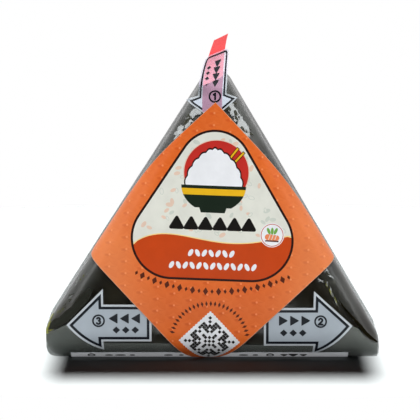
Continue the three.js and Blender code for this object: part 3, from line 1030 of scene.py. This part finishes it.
def badgeInks():
    # a small round badge with a slice of salmon on a leaf
    x, z = badge["centre"]
    inks = [(disc(badge["centre"], radius), ink) for radius, ink in badge["rings"]]
    for dx, tilt in badge["leaves"]:
        inks.append((ellipse((x + dx, z + badge["leafUp"]), badge["leafRadii"], tilt), "leafPrint"))
    salmon = hullOfDiscs([(x + dx, z + dz, radius) for dx, dz, radius in badge["slice"]], count=8)
    inks.append((salmon, "salmonPrint"))
    for dx in badge["stripes"]:
        inks.append((bar(*badge["stripe"]) + (x + dx, z), "creamPrint"))
    return inks + [(bar(*badge["plate"]) + (x, z), "brownPrint")]


def stampInks():
    # a white stamp with a scalloped rim and a cross-stitch ornament that is the same in all four quarters:
    # a cell is black where (a^2 + 2b^2 + ab) mod 5 is in the pattern, a and b its places from the middle
    s = stamp
    edge = np.linspace(-1, 1, s["edgePoints"] + 1)[:-1]
    wobble = 1 + s["scallop"] * abs(np.sin(edge * math.pi * s["scallops"]))
    sides = [np.column_stack([edge, -wobble]), np.column_stack([wobble, edge])]
    square = np.concatenate([sides[0], sides[1], -sides[0], -sides[1]]) * s["side"] / 2
    inks = [(turned(square, 45) + s["centre"], "whitePrint")]
    cells = s["cells"]
    cell = s["side"] * s["cellsShare"] / cells
    for i in range(cells):
        for j in range(cells):
            a, b = sorted((abs(i - cells // 2), abs(j - cells // 2)))
            if (a * a + 2 * b * b + a * b) % 5 in s["pattern"]:
                corner = (np.array([i, j]) - cells / 2) * cell
                square = corner + rectangle(0, 1, 0, 1) * cell * s["cellShare"]
                inks.append((turned(square, 45) + s["centre"], "blackPrint"))
    return inks


def rowInks():
    # rows of simple marks in the places and sizes of the pack's lines of words
    inks = []
    title = markRows["title"]
    for k in range(title["count"]):
        across = (k - (title["count"] - 1) / 2) * title["pitch"]
        centre = title["middle"] + np.array([across, 0])
        inks.append((triangle(centre, title["size"], 90, title["radius"]), "blackPrint"))
    for count, x, z in markRows["lines"]:
        for k in range(count):
            centre = (x + (k - (count - 1) / 2) * markRows["pitch"], z)
            tilt = markRows["tilt"] if k % 2 else -markRows["tilt"]
            inks.append((ellipse(centre, markRows["grain"], tilt), "whitePrint"))
    for middle, radius, first, last, sizes in markRows["arcs"]:
        centres = arc(middle, radius, first, last, markRows["marks"])
        angles = np.linspace(first, last, markRows["marks"])
        for k in range(markRows["marks"]):
            inks.append((lozenge(centres[k], *sizes[k % 2], angles[k] - 90), "brownPrint"))
    return inks


def frontLabel():
    half = label["side"] / math.sqrt(2)
    square = np.array([(0, -half), (half, 0), (0, half), (-half, 0)]) + label["middle"]
    around = hullOfDiscs(panel["discs"], count=40)
    inside = hullOfDiscs([(x, z, radius - panel["line"]) for x, z, radius in panel["discs"]], count=40)
    inks = [(shrunk(square, label["margin"]), "orangePrint"), (around, "lineDark"), (inside, "creamPrint")]
    inks += grainInks(inside)
    inks.append((belowCurve(inside, lambda x: panelWave(x) + panel["waveLine"]), "paleYellowPrint"))
    inks.append((belowCurve(inside, panelWave), "rustPrint"))
    inks += bowlInks() + rowInks() + badgeInks() + stampInks()
    sheet = sheetMesh(square, inks, "paperEdge", onLabel, **label["sheet"])
    sheetPiece("frontLabel", [sheet], "front_label")


frontLabel()
print("front label made")


# Folds of the film

folds = dict(
    sheet=dict(lift=0.006, thick=0.01, spacing=1.1),
    # the flap at the foot of the front, in flat places: its top runs from the left corner to the right one
    foot=[(-47.3, 7.8), (-44.8, 8.9), (-41.6, 10.3), (-31.0, 5.2), (-17.0, 5.0), (15.0, 4.4), (28.5, 4.2),
          (40.2, 9.9), (41.6, 9.4), (43.2, 7.3), (45.1, 5.7), (47.2, 4.9), (47.2, -1.6), (46.4, -2.6),
          (43.0, -4.2), (40.0, -4.8), (-39.0, -4.8), (-42.6, -3.4), (-45.0, -1.6), (-46.3, 0.2), (-47.0, 2.2),
          (-47.3, 4.0)],
    # the gap over it at the right: painted shade along the crease, a dark strip in the seaweed's colour laid
    # over the film where the seaweed shows between two layers
    gap=[(35.9, 18.0), (37.4, 15.9), (38.5, 14.6), (40.6, 12.3), (42.9, 10.1), (44.2, 8.3), (46.2, 6.5),
         (47.2, 5.7), (47.2, 5.2), (45.1, 6.2), (43.3, 7.9), (41.6, 10.2), (39.5, 12.7), (37.1, 15.6)],
    gapSheet=dict(lift=0.02, thick=0.01, spacing=0.8),
    # at the left corner: painted shade, a dark sheet over the crease, and the part of the flap that turns
    # from the light, painted in a shaded grey
    cornerShade=[(-46.9, 8.5), (-46.4, 10.4), (-45.1, 11.8), (-43.6, 12.5), (-41.9, 14.2), (-40.0, 15.6),
                 (-38.0, 18.4), (-35.2, 21.0), (-33.9, 20.6), (-35.2, 17.3), (-41.6, 10.8), (-45.0, 9.1)],
    shadeSheet=dict(lift=0.015, thick=0.01, spacing=0.8),
    cornerFold=[(-47.25, 7.7), (-44.8, 8.8), (-41.9, 10.1), (-37.8, 6.6), (-33.8, 3.9), (-31.4, 2.5),
                (-33.0, -1.2), (-36.5, -4.6), (-39.0, -4.75), (-42.5, -3.35), (-44.9, -1.6), (-46.2, 0.2),
                (-46.9, 2.2), (-47.25, 4.0)],
    foldSheet=dict(lift=0.018, thick=0.008, spacing=0.9),
    # the seaweed's torn edge at the left corner: x, z, length, width, tilt of each sliver
    torn=((-47.1, 8.6, 2.6, 0.8, 82), (-46.9, 7.4, 1.6, 0.9, 60), (-46.6, 10.2, 2.4, 0.6, 66),
          (-45.9, 12.2, 2.4, 0.4, 60), (-47.2, 5.9, 2.0, 0.5, 88), (-46.1, 8.7, 1.2, 0.3, 20),
          (-46.9, 3.9, 1.6, 0.4, 80)),
    tornSheet=dict(lift=0.03, thick=0.01, spacing=0.6),
)
crumples = dict(
    # painted glints, painted shade, and the seaweed's own torn bits
    kinds=("paintedCrinkleGlint", "crinkleShade", "tornSeaweed"),
    # path through x, z; how far off it; how many; lengths; widths; shares of the three kinds
    strewn=(
        (((4.9, 72.9), (6.3, 71.2), (7.7, 69.0), (9.1, 66.6), (10.1, 64.8)),
         0.8, 26, (1.8, 4.2), (0.8, 1.9), (0.82, 0.18, 0.0)),
        (((-3.6, 72.0), (-5.9, 70.2), (-8.1, 67.3), (-10.5, 64.2)),
         0.7, 22, (1.4, 3.4), (0.5, 1.5), (0.78, 0.22, 0.0)),
        (((29.6, 23.5), (32.5, 22.7), (33.9, 19.6), (36.4, 15.5)),
         0.4, 24, (1.2, 3.0), (0.08, 0.22), (0.5, 0.25, 0.25)),
        (((32.2, 26.4), (34.6, 23.0)), 0.6, 7, (0.9, 2.0), (0.12, 0.35), (0.5, 0.5, 0.0)),
        (((-44.2, 13.4), (-42.0, 15.6), (-40.2, 19.2)), 1.0, 12, (0.6, 1.9), (0.1, 0.34), (0.3, 0.4, 0.3)),
        (((-39.4, 22.0), (-36.0, 25.6)), 1.0, 6, (0.4, 1.0), (0.2, 0.4), (0.5, 0.3, 0.2)),
    ),
    tiltSpread=28, lift=0.03, layer=0.005, layers=12, thick=0.003, spacing=0.8,
    rimPoints=24, rim=(0.72, 1.15), taper=0.5,
)


def crumpleShapes(path, off, count, lengths, widths, shares, seed):
    # pointed shapes strewn along a path, each turned roughly along it; a place is the number of a stretch
    # of the path and the share of it, just short of the path's last point
    rng = np.random.default_rng(seed)
    path = np.array(path)
    shapes = []
    for place in rng.uniform(0, len(path) - 1.001, count):
        a, b = path[int(place)], path[int(place) + 1]
        x, z = a + (b - a) * (place % 1) + rng.normal(0, off / 2, 2)
        tilt = math.degrees(math.atan2(*(b - a)[::-1])) + rng.normal(0, crumples["tiltSpread"])
        kind = crumples["kinds"][rng.choice(3, p=shares)]
        size = rng.uniform(*lengths), rng.uniform(*widths)
        shapes.append((sliver(x, z, *size, tilt, rng.integers(1000)), kind))
    return shapes


def sliver(x, z, length, width, tilt, seed):
    # a thin pointed shape with an uneven rim: an ellipse whose radius varies a little from point to point
    count = crumples["rimPoints"]
    shape = disc((0, 0), 1.0, count) * (length / 2, width / 2)
    shape *= np.random.default_rng(seed).uniform(*crumples["rim"], (count, 1))
    shape[:, 1] *= 1 - crumples["taper"] * abs(shape[:, 0]) / length
    return turned(shape, tilt) + (x, z)


def onFront(points, lift):
    # places seen straight from the front, pushed back on to the pack's surface
    return np.column_stack([points[:, 0], frontDepth(points) - lift, points[:, 1]])


def mirrored(place):
    # the same place behind: y is mirrored about the pack's middle
    def placeBehind(points, lift):
        return place(points, lift) * (1, -1, 1) + (0, 2 * pack["middleY"], 0)

    return placeBehind


def onSlope(edge):
    # the flat side of a slope: how far up it from the foot's sharp corner, and y from front to back
    start, along = (edgeStart[1], edgeAlong[1]) if edge == 1 else (edgeStart[0], -edgeAlong[2])

    def place(points, lift):
        at = start + along * points[:, :1] + edgeOut[edge] * lift
        return np.column_stack([at[:, 0], points[:, 1], at[:, 1]])

    return place


backing = dict(
    x=1.3, foot=-4.5, change=40.0, shoulder=70.0, top=79.0, topHalf=3.0, thick=0.012, spacing=1.6,
    # the seam is a real overlap of film, its grey a painted sheen
    strips=(("backSeam", "printed_film", 7.5, "foldedFilmPaintedSheen", 0.012),
            ("backTape", "tear_tape_film", 2.8, "tapeBehindFilm", 0.03)),
)
tucks = dict(
    # up the slope and across it: two triangular tucks, the edges of both, and the film's seam over them; the
    # edges are painted glints
    shapes=(
        (((0, -10.2), (0, -1.2), (31, -7.8), (34, -10.2)), "tuckedFilm"),
        (((0, 10.2), (0, 1.2), (31, 7.8), (34, 10.2)), "tuckedFilm"),
        (((0, -1.45), (0, -1.2), (31, -7.7), (31, -7.95)), "paintedCrinkleGlint"),
        (((0, 1.45), (0, 1.2), (31, 7.7), (31, 7.95)), "paintedCrinkleGlint"),
        (((0, -3.2), (0, 3.2), (74, 3.2), (74, -3.2)), "tuckedFilm"),
        (((0, 3.05), (0, 3.3), (74, 3.3), (74, 3.05)), "paintedCrinkleGlint"),
    ),
    sides=(("rightFolds", 1, 9.6), ("leftFolds", 2, 12.8)),
    lift=0.01, layer=0.014, thick=0.01, spacing=1.4,
)


def backStrips():
    # behind, the film overlaps down the middle with the tear tape on top: wrapped round the foot below the
    # change, and seen straight from the back above it
    b = backing
    for name, slot, half, ink, lift in b["strips"]:
        narrow = min(half, b["topHalf"])
        lower = rectangle(-half, half, b["foot"], b["change"])
        upper = np.array([(-half, b["change"]), (half, b["change"]), (half, b["shoulder"]),
                          (narrow, b["top"]), (-narrow, b["top"]), (-half, b["shoulder"])])
        sheets = [plainSheet(shape + (b["x"], 0), ink, mirrored(place), lift, b["thick"], b["spacing"])
                  for shape, place in ((lower, wrapFront), (upper, onFront))]
        sheetPiece(name, sheets)


def sideTucks():
    # the sides are folded like an envelope, each layer a little over the one below
    for name, edge, start in tucks["sides"]:
        sheets = []
        for k, (shape, ink) in enumerate(tucks["shapes"]):
            shape = np.array(shape, float) + (start, pack["middleY"])
            lift = tucks["lift"] + tucks["layer"] * k
            sheets.append(plainSheet(shape, ink, onSlope(edge), lift, tucks["thick"], tucks["spacing"]))
        sheetPiece(name, sheets)


def crinklePiece():
    # crumpled film round the apex and the corners, drawn as painted glints, painted shade and torn seaweed,
    # on layers taken in turn so that neighbours don't meet
    c = crumples
    strewn = [shape for seed, settings in enumerate(c["strewn"]) for shape in crumpleShapes(*settings, seed)]
    sheets = []
    for k, (shape, ink) in enumerate(strewn):
        lift = c["lift"] + c["layer"] * (k % c["layers"])
        sheets.append(plainSheet(shape, ink, wrapFront, lift, c["thick"], c["spacing"]))
    sheetPiece("paintedCrinklesAndTornSeaweed", sheets)


def foldPiece(name, shape, ink, place, sheet):
    sheetPiece(name, [plainSheet(folds[shape], ink, place, **folds[sheet])])


backStrips()
sideTucks()
# the foot's flap and its copy behind: real folds of film, their grey a painted sheen
foldPiece("footFold", "foot", "foldedFilmPaintedSheen", wrapFront, "sheet")
foldPiece("footFoldBack", "foot", "foldedFilmPaintedSheen", mirrored(wrapFront), "sheet")
foldPiece("foldGapShade", "gap", "seaweed", wrapFront, "gapSheet")
crinklePiece()
foldPiece("cornerShade", "cornerShade", "shadedSeaweed", onFront, "shadeSheet")
foldPiece("cornerFold", "cornerFold", "shadedFilm", wrapFront, "foldSheet")
torn = [plainSheet(sliver(*place, seed), "tornSeaweed", onFront, **folds["tornSheet"])
        for seed, place in enumerate(folds["torn"])]
sheetPiece("tornEdge", torn)
print("folds made")


# Arrows printed on the film

sideArrows = dict(
    left=dict(
        tip=(-41.5, 10.35), head=(-31.1, 20.75), neck=(-31.0, 16.25, 5.6), end=-17.25, barb=(-30.8, 2.75),
        digit="3", digitAt=(-32.35, 11.6), marksAt=(-24.6, 12.25, 8.95),
    ),
    right=dict(
        tip=(40.0, 10.1), head=(29.0, 20.1), neck=(28.85, 15.3, 4.2), end=14.75, barb=(28.5, 0.75),
        digit="2", digitAt=(30.9, 11.35), marksAt=(23.1, 11.6, 8.1),
    ),
    border=0.6, line=0.76, digitRadius=1.84, bulge=0.85, bulgePoints=7,
    markPitch=(3.2, 2.7), triangle=1.45, lozenge=(2.2, 2.0),
    sheet=dict(lift=0.03, thick=0.03, spacing=0.8),
)


def sideArrow(name, a):
    # outline from the tip round the head and the shaft; a pale border, a black line inside it, and the fill
    s = sideArrows
    neck, shaftTop, shaftLow = a["neck"]
    outline = np.array([a["tip"], a["head"], (neck, shaftTop), (a["end"], shaftTop),
                        (a["end"], shaftLow), (neck, shaftLow), a["barb"]])
    # the film's fold rounds the edge from the lower barb to the tip: a parabola 4s(1 - s) over its chord
    share = np.linspace(0, 1, s["bulgePoints"] + 2)[1:-1, None]
    chord = outline[0] - outline[-1]
    outward = unit(np.array([abs(chord[1]) * np.sign(chord[0]), -abs(chord[0])]))
    rounded = outline[-1] + chord * share + outward * s["bulge"] * 4 * share * (1 - share)
    outline = np.concatenate([outline, rounded])
    inks = [(shrunk(outline, s["border"]), "blackOnFilm"),
            (shrunk(outline, s["border"] + s["line"]), "greyOnFilm")]
    inks += circledDigit(a["digitAt"], s["digitRadius"], a["digit"], "greyOnFilm")
    pointing = 180 if a["end"] > a["tip"][0] else 0
    middleX, upperZ, lowerZ = a["marksAt"]
    for k in (-1, 0, 1):
        upper, lower = [(middleX + k * pitch, z) for pitch, z in zip(s["markPitch"], (upperZ, lowerZ))]
        inks.append((triangle(upper, s["triangle"], pointing), "blackOnFilm"))
        inks.append((lozenge(lower, *s["lozenge"]), "blackOnFilm"))
    sheetPiece(name, [sheetMesh(outline, inks, "paleLineOnFilm", wrapFront, **s["sheet"])])


for side in ("left", "right"):
    sideArrow(side + "Arrow", sideArrows[side])
print("side arrows made")


# Film tail and tear tape over the apex

tail = dict(
    bow=0.0085, leanFrom=74.0,                   # the middle line leans to the right as it rises
    turn=53.0, turnFrom=74.0, turnTo=94.0, slant=0.3,
    leave=75.6, stand=79.5,                      # lies on the film below the first, stands above the second
    footY=-17.75, footZ=77.3, standY=-11.4, within=7.7,
    width=8.0, top=88.0, radius=1.6, tip=(0.2, 69.2), head=((-7.4, 74.2), (7.3, 75.1)), neck=(75.7, 76.4),
    border=0.42, line=0.52, seam=(79.9, 0.42),   # below the seam, a height and a slope, the pack is behind it
    bandFrom=71.2, digitAt=(0.75, 75.6), digitRadius=1.8,
    triangles=(0.6, (79.5, 81.3, 83.1, 84.9)), triangle=1.0,     # x, heights
    lozenges=(-1.9, (79.2, 80.8, 82.4, 84.0)), lozenge=(1.3, 1.1), clear=0.6,
    sheet=dict(lift=0.1, thick=0.05, spacing=0.6),
)
tape = dict(width=5.6, fromZ=71.5, toZ=92.2, behind=0.35, sheet=dict(lift=0.03, thick=0.06, spacing=0.7))


def onTail(points, lift):
    # the ribbon's plane to the frame: on the front up to the apex, then standing and turning as it rises
    u, z = points.T
    rise = z + tail["slant"] * u * smooth(tail["footZ"], tail["top"], z)
    middleX = tail["bow"] * np.maximum(0, rise - tail["leanFrom"]) ** 2
    angle = np.radians(tail["turn"]) * smooth(tail["turnFrom"], tail["turnTo"], rise)
    ease = np.exp(-(rise - tail["footZ"]) / tail["within"])
    y = tail["standY"] + (tail["footY"] - tail["standY"]) * ease
    stands = np.column_stack([middleX + u * np.cos(angle) + lift * np.sin(angle),
                              y + u * np.sin(angle) - lift * np.cos(angle), rise])
    lies = onFront(np.column_stack([middleX + u, rise]), lift)
    share = smooth(tail["leave"], tail["stand"], z)[:, None]
    return lies + (stands - lies) * share


def onTape(points, lift):
    # the tape runs under the film, and a little behind its tail
    return onTail(points, lift - tape["behind"] * smooth(tail["leave"], tail["stand"], points[:, 1]))


def tailPieces():
    # one outline with a border and a line, cut at the seam into the printed head and the free tail
    t = tail
    half, top, radius = t["width"] / 2, t["top"], t["radius"]
    (leftHead, rightHead), (leftNeck, rightNeck) = t["head"], t["neck"]
    outline = np.concatenate([
        [t["tip"], rightHead, (half, rightNeck)], arc((half - radius, top - radius), radius, 0, 90, 7),
        arc((-half + radius, top - radius), radius, 90, 180, 7), [(-half, leftNeck), leftHead]])
    line, fill = shrunk(outline, t["border"]), shrunk(outline, t["border"] + t["line"])
    band = rectangle(-tape["width"] / 2, tape["width"] / 2, t["bandFrom"], top)
    marks = [triangle((t["triangles"][0], z), t["triangle"], 270) for z in t["triangles"][1]]
    marks += [lozenge((t["lozenges"][0], z), *t["lozenge"]) for z in t["lozenges"][1]]

    def cut(inks, above):
        return [(clipped(shape, *t["seam"], above), ink) for shape, ink in inks]

    low = [(mark, "blackOnFilm") for mark in marks if mark[:, 1].min() < t["seam"][0]]
    high = [(mark, "blackOnFilm") for mark in marks if mark[:, 1].max() > t["seam"][0] + t["clear"]]
    lower = cut([(line, "blackOnFilm"), (fill, "paleGreyOnFilm"), (band, "tapeUnderPrint")], False)
    lower += circledDigit(t["digitAt"], t["digitRadius"], "1", "tapeUnderPrint") + cut(low, False)
    upper = cut([(line, "blackOnFilm"), (fill, "tailFilm")] + high, True)
    for name, inks, edge, above, node in (("headArrow", lower, "paleLineOnFilm", False, None),
                                          ("filmTail", upper, "tailFilm", True, "film_tail")):
        shape = clipped(outline, *t["seam"], above)
        sheetPiece(name, [sheetMesh(shape, inks, edge, onTail, **t["sheet"])], node)


tailPieces()
ribbon = rectangle(-tape["width"] / 2, tape["width"] / 2, tape["fromZ"], tape["toZ"])
ribbonSheet = plainSheet(ribbon, "tapeRedPaintedGlow", onTape, **tape["sheet"])
sheetPiece("tearTape", [ribbonSheet], "tear_tape")
print("tail and tape made")


# Label under the pack

baseStrip = dict(
    left=-40.4, right=38.9, rise=2.3, margin=0.15, marksUp=1.6,
    rings=(-34.5, 16.6), ring=((1.15, "blackPrint"), (0.7, "whitePrint")),
    bars=((-29.5, 2.4), (-26.2, 3.2), (-22.8, 1.6), (-12.5, 2.6), (-8.8, 1.4), (9.0, 2.8), (12.4, 1.7)),
    barHalf=0.55, triangles=((20.6, 1.1), (23.2, 1.5), (26.1, 1.1)),
    sheet=dict(lift=0.02, thick=0.1, spacing=1.2),
)


def baseStripPiece():
    # a white strip from the foot of the front, under the pack, to the foot of the back
    s = baseStrip
    phi = math.asin(1 - s["rise"] / pack["bendInset"][0])
    table = bendTables[0]
    first = np.interp(phi, np.linspace(0, math.pi / 2, len(table)), table)
    last = 2 * table[-1] + pack["thickness"] - 2 * pack["bendDepth"][0] - first
    outline = rectangle(s["left"], s["right"], first, last)
    inks = [(shrunk(outline, s["margin"]), "stripWhitePaintedGlow")]
    z = first + s["marksUp"]
    for x in s["rings"]:
        inks += [(disc((x, z), radius), ink) for radius, ink in s["ring"]]
    inks += [(ellipse((x, z), (width / 2, s["barHalf"])), "blackPrint") for x, width in s["bars"]]
    inks += [(triangle((x, z), size), "blackPrint") for x, size in s["triangles"]]
    sheet = sheetMesh(outline, inks, "whiteEdge", wrapBase, **s["sheet"])
    sheetPiece("baseLabel", [sheet], "base_label")


baseStripPiece()
print("base label made")


# Camera, floor and light

studio = dict(
    elevation=6.0, distance=1.0, aim=(-0.0006, -0.0065, 0.0422),
    frameWidth=0.1205, sensor=36, clip=(0.01, 20),
    floor=dict(radius=0.25, middleY=0.165, corners=96, colour=(0.1444, 0.152, 0.152, 1)),
    flag=dict(left=-0.0415, right=0.0422, front=-0.0482, back=0.0165, height=0.105),
    tableBox=dict(place=(0, 0.0, 1.2), size=(0.1, 0.36), power=123, shape="ELLIPSE"),
    topBox=dict(place=(-0.03, 0.35, 0.8), size=(0.5, 0.4), power=9),
    frontBox=dict(place=(0.05, -0.8, 1.0), size=(0.6, 0.4), power=15.5),
    lowBox=dict(place=(0, -0.4, -0.16), size=(0.5, 0.2), power=0.35),
    boxesAimAt=(0, 0, 0.04),
    # the tent's brightness by a direction's share along the axis towards the camera, 0 beside and behind
    tent=((0.0, 0.5), (0.35, 0.55), (0.5, 1.3), (0.62, 1.3), (0.76, 0.15), (0.86, 0.004)),
    tentAxis=(0, -0.995, -0.1),
    matt=0.04,                                   # what matt surfaces get instead of the tent
)


def aimed(thing, forward):
    thing.rotation_mode = "QUATERNION"
    thing.rotation_quaternion = forward.to_track_quat("-Z", "Y")


def addCamera():
    # the long lens looks down a little at a point in the plane of the outline
    data = bpy.data.cameras.new("camera")
    camera = inScene("camera", data)
    e = math.radians(studio["elevation"])
    forward = Vector((0, math.cos(e), -math.sin(e)))
    camera.location = Vector(studio["aim"]) - forward * studio["distance"]
    aimed(camera, forward)
    data.sensor_width = studio["sensor"]
    data.lens = studio["sensor"] * studio["distance"] / studio["frameWidth"]
    data.clip_start, data.clip_end = studio["clip"]
    bpy.context.scene.camera = camera


def stageSheet(name, points):
    # one flat polygon that isn't part of the object
    mesh = bpy.data.meshes.new(name)
    mesh.from_pydata([tuple(point) for point in points], [], [list(range(len(points)))])
    made = inScene(name, mesh)
    return made


def addFloor():
    # a matt disc that starts just before the pack, so that the flat front mirrors the dim side of the tent
    f = studio["floor"]
    material, tree, shader, _, _ = newMaterial("paleTable")
    feed(tree, shader, Base_Color=f["colour"], Roughness=1.0, Specular_IOR_Level=0.0)
    ring = disc((0, f["middleY"]), f["radius"], f["corners"])
    table = stageSheet("table", [(x, y, 0) for x, y in ring])
    table.data.materials.append(material)
    return table


def addFlag():
    # a card over the front of the pack that only casts a shadow, on the table before it
    f = studio["flag"]
    corners = rectangle(f["left"], f["right"], f["front"], f["back"])
    flag = stageSheet("flag", [(x, y, f["height"]) for x, y in corners])
    for kind in ("camera", "diffuse", "glossy", "transmission"):
        setattr(flag, "visible_" + kind, False)
    return flag


def addWorld():
    # the camera sees white, gloss sees a tent with two bright strips and a dim side towards the camera,
    # and the softboxes light nearly all that is matt
    world = bpy.data.worlds.new("tent")
    bpy.context.scene.world = world
    world.use_nodes = True
    tree = world.node_tree
    tree.nodes.clear()
    direction = addNode(tree, "TexCoord").outputs["Generated"]
    ahead = addNode(tree, "VectorMath", direction, studio["tentAxis"], operation="DOT_PRODUCT")
    ramp = addNode(tree, "ValToRGB", ahead.outputs["Value"])
    stops = ramp.color_ramp.elements
    for position, tone in studio["tent"][1:-1]:
        stops.new(position)
    for stop, (position, tone) in zip(stops, studio["tent"]):
        stop.position = position
        stop.color = (tone, tone, tone, 1)
    tent = outputOf(tree, "Background", ramp.outputs[0], 1.0)
    faint, white = [outputOf(tree, "Background", (1, 1, 1, 1), share) for share in (studio["matt"], 1.0)]
    path = addNode(tree, "LightPath").outputs
    lit = outputOf(tree, "MixShader", path["Is Diffuse Ray"], tent, faint)
    addNode(tree, "OutputWorld", outputOf(tree, "MixShader", path["Is Camera Ray"], lit, white))


def addSoftbox(name, receivers, blockers):
    # a rectangular light aimed at the middle of the pack, for its own receivers and its own blockers
    settings = studio[name]
    data = bpy.data.lights.new(name, "AREA")
    data.shape = settings.get("shape", "RECTANGLE")
    data.size, data.size_y = settings["size"]
    data.energy = settings["power"]
    box = inScene(name, data)
    box.location = settings["place"]
    aimed(box, Vector(studio["boxesAimAt"]) - box.location)
    box.visible_glossy = box.visible_transmission = False
    for kind, members in (("receiver", receivers), ("blocker", blockers)):
        linked = bpy.data.collections.new(name + kind)
        for member in members:
            linked.objects.link(member)
        setattr(box.light_linking, kind + "_collection", linked)


addCamera()
addWorld()
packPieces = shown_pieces()
table, flag = addFloor(), addFlag()
addSoftbox("tableBox", [table], [flag])
for name in ("topBox", "frontBox", "lowBox"):
    addSoftbox(name, packPieces, packPieces)
bpy.context.scene.view_settings.view_transform = "Standard"
print("studio made")
